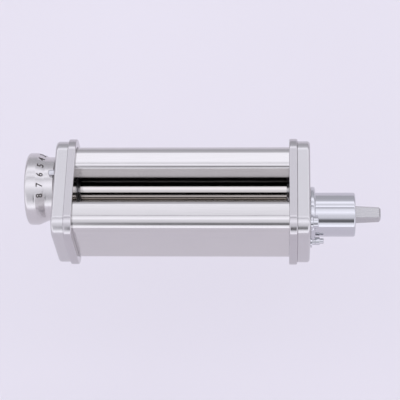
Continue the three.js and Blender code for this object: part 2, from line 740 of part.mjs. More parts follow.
// ---------------------------------------------------------------- knob
function knob() {
  const { rim, rimWidth, neck, coneLength, edge, recess, springWell, lid, lidRadius } = KNOB;
  const coneEnd = KNOB_FACE - rimWidth;
  const outside = [
    [-KNOB_FACE, 0],
    [-KNOB_FACE, rim - edge],
    [-KNOB_FACE + 0.3 * edge, rim - 0.3 * edge],
    [-KNOB_FACE + edge, rim],
    [-coneEnd, rim],
    [-coneEnd + coneLength, neck],
    [-KNOB_BACK - 0.6, neck],
    [-KNOB_BACK, neck - 0.6],
    [-KNOB_BACK, 0],
  ];
  const hollowFloor = WELL_FLOOR + KNOB.rimWeb;
  let body = turned(outside, KNOB_AXIS, 48)
    .subtract(rod(lidRadius + GAP, -KNOB_FACE - MARGIN, -KNOB_FACE + lid + GAP, KNOB_AXIS, 32))
    .subtract(rod(recess, -KNOB_FACE, -hollowFloor, KNOB_AXIS, 28))
    .subtract(rod(springWell, -KNOB_FACE, -WELL_FLOOR, KNOB_AXIS, 20))
    .subtract(
      prism(
        flatted(SPINDLE.radius + GAP, SPINDLE.flats + 2 * GAP, KNOB_AXIS),
        -KNOB_FACE,
        -KNOB_BACK + MARGIN,
      ),
    )
    .subtract(rod(SPINDLE.hub + GAP, -SHOULDER - GAP, -KNOB_BACK + MARGIN, KNOB_AXIS, 32));
  for (let setting = 1; setting <= SETTINGS.count; setting++) {
    const angle = 90 - (SETTINGS.current - setting) * SETTINGS.step;
    const hole = polar(KNOB_AXIS, DETENT.pitch, angle);
    const depth = [-KNOB_BACK - DETENT.depth, -KNOB_BACK + MARGIN];
    body = body.subtract(rod(DETENT.hole, ...depth, hole, 10));
  }
  return body;
}

const knobLid = () =>
  rod(KNOB.lidRadius, -KNOB_FACE, -KNOB_FACE + KNOB.lid, KNOB_AXIS, 32);

function knobSpring() {
  const { wire, radius, turns } = SPRING;
  const fromX = WELL_FLOOR + GAP + wire;
  const toX = SPINDLE_END - GAP - wire;
  class Helix extends THREE.Curve {
    getPoint(t, target = new THREE.Vector3()) {
      const angle = 2 * Math.PI * turns * t;
      return target.set(
        -(fromX + (toX - fromX) * t),
        KNOB_AXIS.y + radius * Math.cos(angle),
        KNOB_AXIS.z + radius * Math.sin(angle),
      );
    }
  }
  const section = new THREE.Shape();
  section.absarc(0, 0, wire, 0, 2 * Math.PI);
  const geometry = new THREE.ExtrudeGeometry(section, {
    steps: 12 * turns,
    curveSegments: 3,
    extrudePath: new Helix(),
  });
  return solid(geometry);
}

const spindleWasher = () =>
  tube(
    SPINDLE_SCREW.washer,
    SPINDLE_SCREW.shank + GAP,
    -SPINDLE_END - GAP - SPINDLE_SCREW.washerThick,
    -SPINDLE_END - GAP,
    KNOB_AXIS,
    20,
  );

const spindleScrew = () =>
  screw(
    KNOB_AXIS,
    -SPINDLE_END + SPINDLE_SCREW.depth - 1,
    -SPINDLE_END - 2 * GAP - SPINDLE_SCREW.washerThick,
    -1,
    { ...SPINDLE_SCREW, socket: 1.5 },
  );

// ---------------------------------------------------------------- pins on the knob's end cap
function indexPin() {
  const { radius, length, shank, shankLength } = INDEX_PIN;
  const base = -(CAP_FACE + GAP);
  const tip = base - length;
  const round = radius * 0.8;
  return turned(
    [
      [tip, 0],
      [tip + 0.1 * round, 0.5 * radius],
      [tip + 0.4 * round, 0.85 * radius],
      [tip + round, radius],
      [base, radius],
      [base, shank],
      [base + shankLength, shank],
      [base + shankLength, 0],
    ],
    indexAxis,
    16,
  );
}

const detentPin = () => rod(DETENT.pin, -KNOB_BACK + GAP, -CAP_INSIDE + GAP, detentAxis, 16);

// ---------------------------------------------------------------- the assembly
piece("knob_end_plate", endPlate(-1), FINISH.satin);
piece("hub_end_plate", endPlate(1), FINISH.satin);
piece("knob_end_cap", knobEndCap(), FINISH.satin);
piece("hub_end_cap", hubEndCap(), FINISH.satin);
piece("front_cover", cover(-1), FINISH.brushed);
piece("rear_cover", cover(1), FINISH.brushed);
tieRods.forEach((axis, i) => piece(`tie_rod_${i + 1}`, tieRod(axis), FINISH.zinc));
tieRods.forEach((axis, i) => {
  piece(`rod_screw_knob_${i + 1}`, rodScrew(axis, -1), FINISH.zinc);
  piece(`rod_screw_hub_${i + 1}`, rodScrew(axis, 1), FINISH.zinc);
});
capScrewAxes.forEach((axis, i) => {
  piece(`cap_screw_knob_${i + 1}`, capScrew(axis, -1), FINISH.zinc);
  piece(`cap_screw_hub_${i + 1}`, capScrew(axis, 1), FINISH.zinc);
});

piece("front_roller", roller(FRONT_AXIS), FINISH.polished);
piece("drive_shaft", driveShaft(), FINISH.steel);
piece("front_gear", gear(FRONT_AXIS, 0), FINISH.zinc);
piece("front_snap_ring", snapRing(FRONT_AXIS, -1), FINISH.steel);
piece("front_bush_knob", bush(FRONT_AXIS, -1, OUTER), FINISH.steel);
piece("front_bush_hub", bush(FRONT_AXIS, 1, OUTER), FINISH.steel);
piece("front_scraper", scraper(FRONT_AXIS, -1), FINISH.steel);

piece("rear_roller", roller(REAR_AXIS), FINISH.polished);
piece("rear_shaft", rearShaft(), FINISH.steel);
piece("rear_gear", gear(REAR_AXIS, 0.5), FINISH.zinc);
piece("rear_bush_knob", bush(REAR_AXIS, -1, ECCENTRIC_FLOOR - GAP), FINISH.steel);
piece("rear_bush_hub", bush(REAR_AXIS, 1, OUTER), FINISH.steel);
piece("rear_scraper", scraper(REAR_AXIS, 1), FINISH.steel);

piece("knob_eccentric", knobEccentric(), FINISH.zinc);
piece("hub_eccentric", hubEccentric(), FINISH.zinc);
piece("link_bar", linkBar(), FINISH.steel);
piece("spindle_washer", spindleWasher(), FINISH.zinc);
piece("spindle_screw", spindleScrew(), FINISH.zinc);
piece("regulator_knob", knob(), FINISH.satin);
piece("knob_lid", knobLid(), FINISH.satin);
piece("knob_spring", knobSpring(), FINISH.steel);
piece("index_pin", indexPin(), FINISH.polished);
piece("detent_pin", detentPin(), FINISH.steel);

piece("mount_spigot", spigot(), FINISH.polished);
piece("spigot_bush", spigotBush(), FINISH.bronze);
piece("locating_pin", locatingPin(), FINISH.polished);
mountScrewAxes.forEach((axis, i) => piece(`mount_screw_${i + 1}`, mountScrew(axis), FINISH.polished));

// The origin is under the middle of the whole length.
group.position.x = (KNOB_FACE - DRIVE_END) / 2;

export default group;
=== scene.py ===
"""Looks of the pasta roller machine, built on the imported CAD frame.

Sizes are millimetres, and x is measured from the middle of the body, until a mesh is made.
"""

import json
import math

import bmesh
import bpy
from mathutils import Matrix, Vector


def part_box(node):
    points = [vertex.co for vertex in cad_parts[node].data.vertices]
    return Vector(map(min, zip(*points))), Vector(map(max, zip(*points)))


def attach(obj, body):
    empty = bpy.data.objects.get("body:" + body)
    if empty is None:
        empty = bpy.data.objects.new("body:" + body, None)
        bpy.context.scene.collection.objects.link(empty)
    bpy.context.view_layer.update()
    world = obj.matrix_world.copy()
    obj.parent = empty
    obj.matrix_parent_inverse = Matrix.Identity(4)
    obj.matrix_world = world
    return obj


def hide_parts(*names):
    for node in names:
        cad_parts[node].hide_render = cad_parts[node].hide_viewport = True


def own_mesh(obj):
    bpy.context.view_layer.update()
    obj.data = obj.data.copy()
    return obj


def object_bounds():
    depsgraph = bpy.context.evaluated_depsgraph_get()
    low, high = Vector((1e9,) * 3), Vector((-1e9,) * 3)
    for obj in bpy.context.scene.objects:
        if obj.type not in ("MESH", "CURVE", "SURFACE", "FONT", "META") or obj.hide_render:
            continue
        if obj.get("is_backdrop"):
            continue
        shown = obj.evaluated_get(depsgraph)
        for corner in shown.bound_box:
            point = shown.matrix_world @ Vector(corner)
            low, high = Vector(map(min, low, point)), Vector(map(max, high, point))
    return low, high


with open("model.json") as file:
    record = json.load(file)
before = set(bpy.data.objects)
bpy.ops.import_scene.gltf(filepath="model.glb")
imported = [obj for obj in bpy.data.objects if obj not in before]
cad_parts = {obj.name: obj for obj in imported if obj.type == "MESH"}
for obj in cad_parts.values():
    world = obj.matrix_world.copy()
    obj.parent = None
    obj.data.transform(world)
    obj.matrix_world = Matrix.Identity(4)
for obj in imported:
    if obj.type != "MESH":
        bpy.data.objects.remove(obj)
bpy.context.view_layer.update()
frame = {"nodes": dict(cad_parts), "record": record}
MM = 0.001


# ------------------------------------------------------------------ sizes and places
def box_mm(node):
    low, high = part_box(node)
    return low / MM, high / MM


def axis_of(node):
    """(y, z) of the middle of a node that is round about X."""
    low, high = box_mm(node)
    return ((low.y + high.y) / 2, (low.z + high.z) / 2)


PLATE_LOW, PLATE_HIGH = box_mm("knob_end_plate")
MIDDLE = (PLATE_LOW.x + box_mm("hub_end_plate")[1].x) / 2  # X of the middle of the body
FRONT = axis_of("front_roller")
REAR = axis_of("rear_roller")
KNOB = axis_of("knob_lid")
WIDTH = PLATE_HIGH.y - PLATE_LOW.y
HEIGHT = PLATE_HIGH.z - PLATE_LOW.z
MID_Z = HEIGHT / 2
GAP = 0.3

INNER, OUTER = 75.0, 80.7  # end plate, from the middle of the body
CAP_BASE, CAP_INSIDE, CAP_FACE = 80.78, 87.4, 89.6
CORNER, PLATE_EDGE = 13.6, 0.8
CAP_STEP, CAP_WALL, CAP_FILLET = 1.7, 2.2, 2.2
COVER_LOW, COVER_HIGH = box_mm("rear_cover")
COVER = dict(sheet=1.0, inner=4.5, outer=10.0, lower=9.0, lip=59.0, slope=6.0, shoulder=8.2, under=5.3)
ROLLER, SHAFT = 9.5, 4.0
ROLLER_HALF, ROLLER_END = 71.9, 73.6
FLANGE_RADIUS = 7.2
FLANGE = (72.2, 73.6)
BUSH = 6.0
PAST = 1.0  # how far a cutter runs past the face that it cuts
GROOVE = 1.5  # depth of the covers' grooves in the end plates
EDGE, FINE_EDGE, BORE_EDGE = 0.3, 0.2, 0.15  # roundings of turned edges

# Screws: radii of shank, head and socket, height of the head, depth of the socket.
CAP_SCREW = dict(shank=1.4, head=2.9, thick=1.5, socket=1.1, depth=1.0)
MOUNT_SCREW = dict(shank=1.9, head=4.25, thick=3.6, socket=2.0, depth=2.0)
SCREW = dict(tip=0.25, brim=0.1, dome=0.6, mouth=0.25)
CAP_PILLAR, CAP_SCREW_REACH, CAP_SCREW_TAPPED = 3.6, 3.0, 4.0
ROD_SCREW_SHANK = 1.8

# Mixer side: radii, and distances along X from the middle of the body.
SPIGOT_FLANGE, SPIGOT_TUBE, REGISTER, SPIGOT_BORE = 19.8, 15.6, 11.7, 10.0
FLANGE_BACK, FLANGE_FACE, SPIGOT_END, DRIVE_END = 89.9, 93.1, 121.1, 139.1
SPIGOT_BUSH = dict(length=9.0, wall=2.0)
EAR = dict(thick=1.3, rim=1.0)
BOSS = dict(rim=1.9, drop=2.2)
PIN = dict(radius=2.7, length=6.6, tip=1.9, tip_length=2.7, groove=(3.6, 3.1), groove_depth=0.15)
DRIVE = dict(neck=6.0, flats=9.4, tip_flats=8.2, corner=0.8, chamfer=1.2, shoulder=0.5, overlap=0.5)
SNAP_GROOVE = dict(width=1.6, depth=0.8)
SHAFT_PAST = 3.0  # drive shaft beyond the knob's end plate

# Knob side.
KNOB_FACE, KNOB_BACK = 111.2, 91.0
RIM, NECK = 25.8, 22.8
CONE_OUT, CONE_IN = 104.0, 97.0
KNOB_EDGES = dict(face=2.2, rim=4.0, neck=4.5, back=0.6)
LID = dict(thick=2.0, radius=20.5, seat=20.8, sunk=0.05, drawn_in=0.1)
HOLLOW, WELL, RIM_WEB = 18.5, 8.2, 4.5
SPINDLE, HUB, HUB_DEPTH = 4.5, 6.0, 7.3
DETENT_PIN, DETENT_PITCH, DETENT_HOLE, DETENT_DEPTH = 1.5, 18.5, 2.1, 4.0
INDEX_PIN = dict(radius=2.0, shank=1.2, dome=1.7)
SPRING = dict(wire=0.5, turns=3)
DIGIT = dict(height=4.7, capitals=0.7, thick=0.14, bolder=0.06, proud=0.02, width=0.95)
SETTINGS, STEP, CURRENT = 8, 18.0, 6
DIAL_OFFSET = -2.5  # degrees that the numbers sit off their holes


# ------------------------------------------------------------------ mesh helpers
def polar(axis, radius, degrees):
    angle = math.radians(degrees)
    return (axis[0] + radius * math.cos(angle), axis[1] + radius * math.sin(angle))


def arc(centre, radius, start, end, steps):
    return [polar(centre, radius, start + (end - start) * i / steps) for i in range(steps + 1)]


def eased(points, steps=5, closed=False):
    """Rounds the corners of a line. A point is (a, b) or (a, b, radius)."""
    out, count = [], len(points)
    for i, point in enumerate(points):
        radius = point[2] if len(point) > 2 else 0
        at = Vector(point[:2])
        if radius <= 0 or (not closed and i in (0, count - 1)):
            out.append(tuple(at))
            continue
        before = (Vector(points[i - 1][:2]) - at).normalized()
        after = (Vector(points[(i + 1) % count][:2]) - at).normalized()
        half = before.angle(after) / 2
        start, end = at + before * radius / math.tan(half), at + after * radius / math.tan(half)
        centre = at + (before + after).normalized() * radius / math.sin(half)
        first, last = start - centre, end - centre
        sweep = first.angle(last)
        for k in range(steps + 1):
            t = k / steps
            spoke = (first * math.sin((1 - t) * sweep) + last * math.sin(t * sweep)) / math.sin(sweep)
            out.append(tuple(centre + spoke))
    return out


def new_object(name, verts, faces):
    mesh = bpy.data.meshes.new(name)
    mesh.from_pydata([((x + MIDDLE) * MM, y * MM, z * MM) for x, y, z in verts], [], faces)
    obj = bpy.data.objects.new(name, mesh)
    bpy.context.scene.collection.objects.link(obj)
    made = bmesh.new()
    made.from_mesh(mesh)
    bmesh.ops.recalc_face_normals(made, faces=made.faces)
    made.to_mesh(mesh)
    made.free()
    return obj


def turned(name, profile, axis, segments=96, ring=False):
    """A solid of revolution about X. The profile is (x, radius) points; a ring's profile is closed."""
    verts, faces, rows = [], [], []
    for x, radius in profile:
        if radius < 1e-6:
            rows.append([len(verts)])
            verts.append((x, *axis))
            continue
        rows.append(list(range(len(verts), len(verts) + segments)))
        verts += [(x, *polar(axis, radius, 360 * s / segments)) for s in range(segments)]
    pairs = list(zip(rows, rows[1:] + rows[:1])) if ring else list(zip(rows, rows[1:]))
    for a, b in pairs:
        for s in range(segments):
            n = (s + 1) % segments
            if len(a) == 1:
                faces.append((a[0], b[s], b[n]))
            elif len(b) == 1:
                faces.append((a[s], b[0], a[n]))
            else:
                faces.append((a[s], b[s], b[n], a[n]))
    return new_object(name, verts, faces)


def lofted(name, rings):
    """Skins rings of (x, [(y, z), ...]), all with the same number of points, and closes both ends."""
    count = len(rings[0][1])
    verts = [(x, y, z) for x, ring in rings for y, z in ring]
    faces = [tuple(range(count)), tuple(range(len(verts) - count, len(verts)))]
    for r in range(len(rings) - 1):
        for s in range(count):
            n = (s + 1) % count
            faces.append((r * count + s, r * count + n, (r + 1) * count + n, (r + 1) * count + s))
    return new_object(name, verts, faces)


def prism(name, outline, low, high):
    return lofted(name, [(low, outline), (high, outline)])


def rod(radius, low, high, axis, segments=64):
    return prism("cutter", [polar(axis, radius, 360 * s / segments) for s in range(segments)], low, high)


def rounded(width, height, corner, steps=14, centre=(0, MID_Z)):
    """Outline of a rectangle with round corners."""
    points = []
    for k, (sy, sz) in enumerate(((1, 1), (-1, 1), (-1, -1), (1, -1))):
        spot = (centre[0] + sy * (width / 2 - corner), centre[1] + sz * (height / 2 - corner))
        points += arc(spot, corner, 90 * k, 90 * k + 90, steps)
    return points


def settle(obj):
    """Applies an object's modifiers."""
    mesh = bpy.data.meshes.new_from_object(obj.evaluated_get(bpy.context.evaluated_depsgraph_get()))
    obj.modifiers.clear()
    obj.data = mesh
    return obj


def carve(obj, *cutters, operation="DIFFERENCE"):
    for cutter in cutters:
        step = obj.modifiers.new("carve", "BOOLEAN")
        step.operation, step.object, step.solver = operation, cutter, "EXACT"
    settle(obj)
    for cutter in cutters:
        bpy.data.objects.remove(cutter)
    return obj


def soften(obj, width, segments=2, angle=40):
    """Rounds an object's edges a little."""
    step = obj.modifiers.new("soften", "BEVEL")
    step.width, step.segments, step.limit_method = width * MM, segments, "ANGLE"
    step.angle_limit = math.radians(angle)
    step.use_clamp_overlap = True
    return settle(obj)


def place(obj, name, body, nodes, material, sharp=32, second=None):
    """Names, shades and paints a finished piece, and puts it on its CAD body."""
    obj.name = obj.data.name = name
    kinds = [face.material_index for face in obj.data.polygons]
    obj.data.materials.clear()
    obj.data.materials.append(material)
    if second:
        obj.data.materials.append(second)
    obj.data.polygons.foreach_set("use_smooth", [True] * len(obj.data.polygons))
    obj.data.polygons.foreach_set("material_index", [kind if second else 0 for kind in kinds])
    obj.data.set_sharp_from_angle(angle=math.radians(sharp))
    even = obj.modifiers.new("even_normals", "WEIGHTED_NORMAL")
    even.keep_sharp, even.weight = True, 80
    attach(obj, body)
    if nodes:
        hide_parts(*nodes)
    return obj


def at_end(side, near, far):
    """Lower and higher x, from the middle of the body, of a span at one end."""
    return (near, far) if side > 0 else (-far, -near)


# ------------------------------------------------------------------ materials
def metal(name, color, roughness, streak, scale, tone, rough, bump=0.0):
    """A metal whose grain is noise stretched by streak, which varies its colour, roughness and height."""
    material = bpy.data.materials.new(name)
    material.use_nodes = True
    tree = material.node_tree
    nodes, links = tree.nodes, tree.links
    shader = nodes["Principled BSDF"]
    shader.inputs["Metallic"].default_value = 1.0
    where = nodes.new("ShaderNodeTexCoord")
    stretch = nodes.new("ShaderNodeMapping")
    stretch.inputs["Scale"].default_value = streak
    grain = nodes.new("ShaderNodeTexNoise")
    grain.inputs["Scale"].default_value = scale
    grain.inputs["Detail"].default_value = 4.0
    cloud = nodes.new("ShaderNodeTexNoise")
    cloud.inputs["Scale"].default_value = 35.0
    cloud.inputs["Detail"].default_value = 3.0
    both = nodes.new("ShaderNodeMath")
    both.operation = "MULTIPLY_ADD"
    both.inputs[1].default_value = 0.35
    ramp = nodes.new("ShaderNodeValToRGB")
    ramp.color_ramp.elements[0].position = 0.35
    ramp.color_ramp.elements[1].position = 0.85
    ramp.color_ramp.elements[0].color = (*[c * (1 - tone) for c in color], 1)
    ramp.color_ramp.elements[1].color = (*[min(1.0, c * (1 + tone)) for c in color], 1)
    shine = nodes.new("ShaderNodeMapRange")
    shine.inputs["From Min"].default_value = 0.35
    shine.inputs["From Max"].default_value = 0.95
    shine.inputs["To Min"].default_value = max(0.02, roughness - rough / 2)
    shine.inputs["To Max"].default_value = roughness + rough / 2
    links.new(where.outputs["Object"], stretch.inputs["Vector"])
    links.new(stretch.outputs["Vector"], grain.inputs["Vector"])
    links.new(where.outputs["Object"], cloud.inputs["Vector"])
    links.new(cloud.outputs["Fac"], both.inputs[0])
    links.new(grain.outputs["Fac"], both.inputs[2])
    links.new(both.outputs["Value"], ramp.inputs["Fac"])
    links.new(both.outputs["Value"], shine.inputs["Value"])
    links.new(ramp.outputs["Color"], shader.inputs["Base Color"])
    links.new(shine.outputs["Result"], shader.inputs["Roughness"])
    if bump:
        height = nodes.new("ShaderNodeBump")
        height.inputs["Strength"].default_value = bump
        height.inputs["Distance"].default_value = 0.00005
        links.new(grain.outputs["Fac"], height.inputs["Height"])
        links.new(height.outputs["Normal"], shader.inputs["Normal"])
    return material


def matte(name, color, roughness, tone=0.1, scale=600.0):
    material = bpy.data.materials.new(name)
    material.use_nodes = True
    nodes, links = material.node_tree.nodes, material.node_tree.links
    shader = nodes["Principled BSDF"]
    shader.inputs["Roughness"].default_value = roughness
    noise = nodes.new("ShaderNodeTexNoise")
    noise.inputs["Scale"].default_value = scale
    ramp = nodes.new("ShaderNodeValToRGB")
    ramp.color_ramp.elements[0].color = (*[c * (1 - tone) for c in color], 1)
    ramp.color_ramp.elements[1].color = (*[min(1.0, c * (1 + tone)) for c in color], 1)
    links.new(noise.outputs["Fac"], ramp.inputs["Fac"])
    links.new(ramp.outputs["Color"], shader.inputs["Base Color"])
    return material


SHEET = metal("cover_steel", (0.63, 0.612, 0.60), 0.14, (0.03, 1, 1), 1400, 0.03, 0.05, 0.08)
# Painted shade: near-black metal on the covers' inner faces, so the rollers mirror a dark slot.
PAINTED_SHADE_INSIDE = metal("cover_inside_painted_shade", (0.05, 0.048, 0.048), 0.5, (0.05, 1, 1), 900, 0.10, 0.1, 0.1)
CAST = metal("satin_casting", (0.60, 0.585, 0.585), 0.20, (0.3, 1, 1), 4000, 0.02, 0.04, 0.04)
PLATE = metal("satin_plate", (0.56, 0.54, 0.545), 0.16, (0.3, 1, 1), 4000, 0.02, 0.04, 0.04)
DIAL = metal("turned_dial", (0.63, 0.61, 0.605), 0.22, (1, 0.15, 0.15), 3000, 0.03, 0.05, 0.06)
GROUND = metal("ground_roller", (0.62, 0.59, 0.56), 0.08, (1, 0.1, 0.1), 2600, 0.02, 0.04, 0.04)
BRIGHT = metal("drawn_steel", (0.50, 0.49, 0.49), 0.25, (0.1, 1, 1), 1500, 0.05, 0.1, 0.1)
GEARS = metal("gear_steel", (0.34, 0.33, 0.34), 0.35, (1, 1, 1), 1200, 0.10, 0.12, 0.1)
CHROME = metal("chrome", (0.60, 0.60, 0.62), 0.07, (1, 1, 1), 800, 0.01, 0.03)
ZINC = metal("zinc_plate", (0.50, 0.50, 0.52), 0.30, (1, 1, 1), 1000, 0.08, 0.12, 0.1)
BRONZE = metal("bush_bronze", (0.50, 0.36, 0.19), 0.42, (1, 1, 1), 2600, 0.14, 0.12, 0.2)
INK = matte("number_ink", (0.035, 0.026, 0.022), 0.5)
BY_SLOT = {
    "brushed_cover": SHEET, "satin_casting": CAST, "knob_satin": DIAL, "ground_roller": GROUND,
    "bright_steel": BRIGHT, "gear_steel": GEARS, "bush_bronze": BRONZE, "chromed_steel": CHROME,
    "zinc_plate": ZINC,
}
for part in frame["record"]["subparts"]:
    frame["nodes"][part["node"]].data.materials.clear()
    frame["nodes"][part["node"]].data.materials.append(BY_SLOT[part["material_slot"]])


# ------------------------------------------------------------------ covers
def cover_line(side, grow=0.0):
    """Outer line of a cover from the feed opening, over the top, down the wall and under."""
    edge, wall = COVER_LOW.y, COVER_HIGH.y
    top, bottom = COVER_HIGH.z, COVER_LOW.z
    slope = COVER["slope"]
    start = (edge + COVER["shoulder"], top)
    inner = polar(start, -COVER["inner"], 90 - slope)
    lip = polar(inner, COVER["inner"], 90 + COVER["lip"])
    fall = (lip[0] - edge) * math.tan(math.radians(COVER["lip"]))
    upper_y = wall - COVER["outer"]
    run = upper_y + COVER["outer"] * math.sin(math.radians(slope)) - start[0]
    upper = (
        upper_y,
        top - run * math.tan(math.radians(slope)) - COVER["outer"] * math.cos(math.radians(slope)),
    )
    lower = (wall - COVER["lower"], bottom + COVER["lower"])
    line = [
        (edge, lip[1] - fall),
        *arc(inner, COVER["inner"], 90 + COVER["lip"], 90 - slope, 12),
        *arc(upper, COVER["outer"], 90 - slope, 0, 20),
        *arc(lower, COVER["lower"], 0, -90, 16),
        (lower[0] - COVER["under"], bottom),
    ]
    if grow:
        for end, following in ((0, 1), (-1, -2)):
            a, b = Vector(line[end]), Vector(line[following])
            line[end] = tuple(a + (a - b).normalized() * grow)
    return [(side * y, z) for y, z in line]


def sheet_outline(line, thickness, side, outward=0.0):
    """Closed outline of a bent sheet: its line moved outward, and the line moved inward by its thickness."""
    def moved(distance):
        result = []
        for i, point in enumerate(line):
            a = Vector(line[max(i - 1, 0)])
            b = Vector(line[min(i + 1, len(line) - 1)])
            run = (b - a).normalized()
            normal = Vector((run.y, -run.x)) * side
            result.append(tuple(Vector(point) + normal * distance))
        return result

    return moved(-outward) + moved(thickness)[::-1]


for side, name in ((-1, "front_cover"), (1, "rear_cover")):
    low, high = box_mm(name)
    outline = sheet_outline(cover_line(side), COVER["sheet"], side)
    obj = prism(name, outline, low.x - MIDDLE, high.x - MIDDLE)
    obj.data.materials.append(SHEET)
    obj.data.materials.append(PAINTED_SHADE_INSIDE)
    half = len(outline) // 2
    # the inner faces take the painted-shade material
    for face in list(obj.data.polygons)[2 + half : 2 + 2 * half - 1]:
        face.material_index = 1
    obj = soften(obj, 0.25, 2, 50)
    place(obj, name + "_sheet", "frame", [name], SHEET, second=PAINTED_SHADE_INSIDE)


# ------------------------------------------------------------------ end plates and caps
ROD_AXES = [axis_of(f"tie_rod_{k}") for k in range(1, 5)]
CAP_SCREW_AXES = [axis_of(f"cap_screw_hub_{k}") for k in (1, 2)]
LOCATING = axis_of("locating_pin")
MOUNT_AXES = [axis_of(f"mount_screw_{k}") for k in (1, 2)]
INDEX = axis_of("index_pin")
DETENT = axis_of("detent_pin")
ECCENTRIC = (box_mm("hub_eccentric")[1].z - box_mm("hub_eccentric")[0].z) / 2


def end_plate(side, name):
    rings, steps = [], 4
    for k in range(steps + 1):
        a = math.radians(90 * k / steps)
        inset = PLATE_EDGE * (1 - math.sin(a))
        ring = rounded(WIDTH - 2 * inset, HEIGHT - 2 * inset, CORNER - inset)
        rings.append((INNER + PLATE_EDGE * (1 - math.cos(a)), ring))
    rings += [(INNER + OUTER - x, ring) for x, ring in rings[::-1]]
    obj = lofted(name, [(side * x, ring) for x, ring in rings])
    through = at_end(side, INNER - PAST, OUTER + PAST)
    tapped = at_end(side, OUTER - CAP_SCREW_TAPPED, OUTER + PAST)
    cutters = [rod(ECCENTRIC + GAP, *through, KNOB, 96), rod(BUSH + GAP, *through, FRONT, 64)]
    cutters += [rod(ROD_SCREW_SHANK + GAP, *through, axis, 32) for axis in ROD_AXES]
    cutters += [rod(CAP_SCREW["shank"] + GAP, *tapped, axis, 32) for axis in CAP_SCREW_AXES]
    for half in (-1, 1):
        groove = sheet_outline(cover_line(half, GAP), COVER["sheet"] + GAP, half, GAP)
        cutters.append(prism("cutter", groove, *at_end(side, INNER - PAST, INNER + GROOVE)))
    carve(obj, *cutters)
    place(obj, name + "_cast", "frame", [name], PLATE)


def end_cap(side, name, holes):
    width, height, corner = WIDTH - 2 * CAP_STEP, HEIGHT - 2 * CAP_STEP, CORNER - CAP_STEP
    ease = BORE_EDGE
    rings = [
        (CAP_BASE, rounded(width - 2 * ease, height - 2 * ease, corner - ease)),
        (CAP_BASE + ease, rounded(width, height, corner)),
    ]
    steps = 8
    for k in range(steps + 1):
        a = math.radians(90 * k / steps)
        inset = CAP_FILLET * (1 - math.cos(a))
        ring = rounded(width - 2 * inset, height - 2 * inset, corner - inset)
        rings.append((CAP_FACE - CAP_FILLET * (1 - math.sin(a)), ring))
    obj = lofted(name, [(side * x, ring) for x, ring in rings])
    hollow = rounded(width - 2 * CAP_WALL, height - 2 * CAP_WALL, corner - CAP_WALL)
    carve(obj, prism("cutter", hollow, *at_end(side, CAP_BASE - PAST, CAP_INSIDE)))
    tall = at_end(side, CAP_BASE, CAP_INSIDE + GAP)
    pillars = [rod(CAP_PILLAR, *tall, axis, 48) for axis in CAP_SCREW_AXES]
    carve(obj, *pillars, operation="UNION")
    cutters = []
    for axis in CAP_SCREW_AXES:
        hole = at_end(side, CAP_BASE - PAST, CAP_FACE + PAST)
        seat = at_end(side, CAP_FACE - CAP_SCREW["thick"] - GAP, CAP_FACE + PAST)
        cutters.append(rod(CAP_SCREW["shank"] + GAP, *hole, axis, 32))
        cutters.append(rod(CAP_SCREW["head"] + GAP, *seat, axis, 48))
    for radius, axis in holes:
        cutters.append(rod(radius + GAP, *at_end(side, CAP_INSIDE - PAST, CAP_FACE + PAST), axis, 80))
    carve(obj, *cutters)
    place(obj, name + "_cast", "frame", [name], CAST)


end_plate(-1, "knob_end_plate")
end_plate(1, "hub_end_plate")
end_cap(-1, "knob_end_cap", [(HUB, KNOB), (INDEX_PIN["shank"], INDEX), (DETENT_PIN, DETENT)])
end_cap(1, "hub_end_cap", [(REGISTER, FRONT)] + [(MOUNT_SCREW["shank"], axis) for axis in MOUNT_AXES])


# ------------------------------------------------------------------ screws
def screw(name, axis, side, tip, seat, sizes, material):
    """A machine screw with a rounded head and a hexagon socket."""
    shank, head, socket = sizes["shank"], sizes["head"], sizes["socket"]
    top = seat + sizes["thick"]
    brim = SCREW["brim"]
    profile = [
        (tip, 0), (tip, shank - SCREW["tip"]), (tip + SCREW["tip"], shank), (seat, shank),
        (seat, head - brim), (seat + brim, head),
    ]
    dome = min(SCREW["dome"], sizes["thick"] / 2)
    profile += eased([(seat + brim, head), (top, head, dome), (top, 0)], 5)[1:]
    obj = turned(name, [(side * x, r) for x, r in profile], axis, 48)
    mouth = socket + SCREW["mouth"]
    hexes = [
        (top + PAST, mouth), (top + 0.01, mouth),
        (top - SCREW["mouth"], socket), (top - sizes["depth"], socket),
    ]
    rings = [(side * x, [polar(axis, r, 60 * k) for k in range(6)]) for x, r in hexes]
    carve(obj, lofted("cutter", rings))
    place(obj, name + "_turned", "frame", [name], material)


def cap_screw(name, axis, side):
    tip, seat = OUTER - CAP_SCREW_REACH, CAP_FACE - CAP_SCREW["thick"]
    screw(name, axis, side, tip, seat, CAP_SCREW, ZINC)


for k, axis in enumerate(CAP_SCREW_AXES, 1):
    cap_screw(f"cap_screw_knob_{k}", axis, -1)
    cap_screw(f"cap_screw_hub_{k}", axis, 1)
for k, axis in enumerate(MOUNT_AXES, 1):
    tip, seat = CAP_INSIDE - 2 * PAST, FLANGE_BACK + EAR["thick"] + GAP
    screw(f"mount_screw_{k}", axis, 1, tip, seat, MOUNT_SCREW, CHROME)


# ------------------------------------------------------------------ rollers and bushes
def roller(name, axis, body):
    bore, seat = SHAFT + GAP, FLANGE_RADIUS + GAP
    outline = [
        (-ROLLER_HALF, bore, FINE_EDGE), (-ROLLER_HALF, seat), (-ROLLER_END, seat, FINE_EDGE),
        (-ROLLER_END, ROLLER, EDGE), (ROLLER_END, ROLLER, EDGE),
        (ROLLER_END, seat, FINE_EDGE), (ROLLER_HALF, seat), (ROLLER_HALF, bore, FINE_EDGE),
    ]
    obj = turned(name, eased(outline, 5, closed=True), axis, 128, ring=True)
    place(obj, name + "_ground", body, [name], GROUND)


roller("front_roller", FRONT, "front_roller")
roller("rear_roller", REAR, "rear_roller")


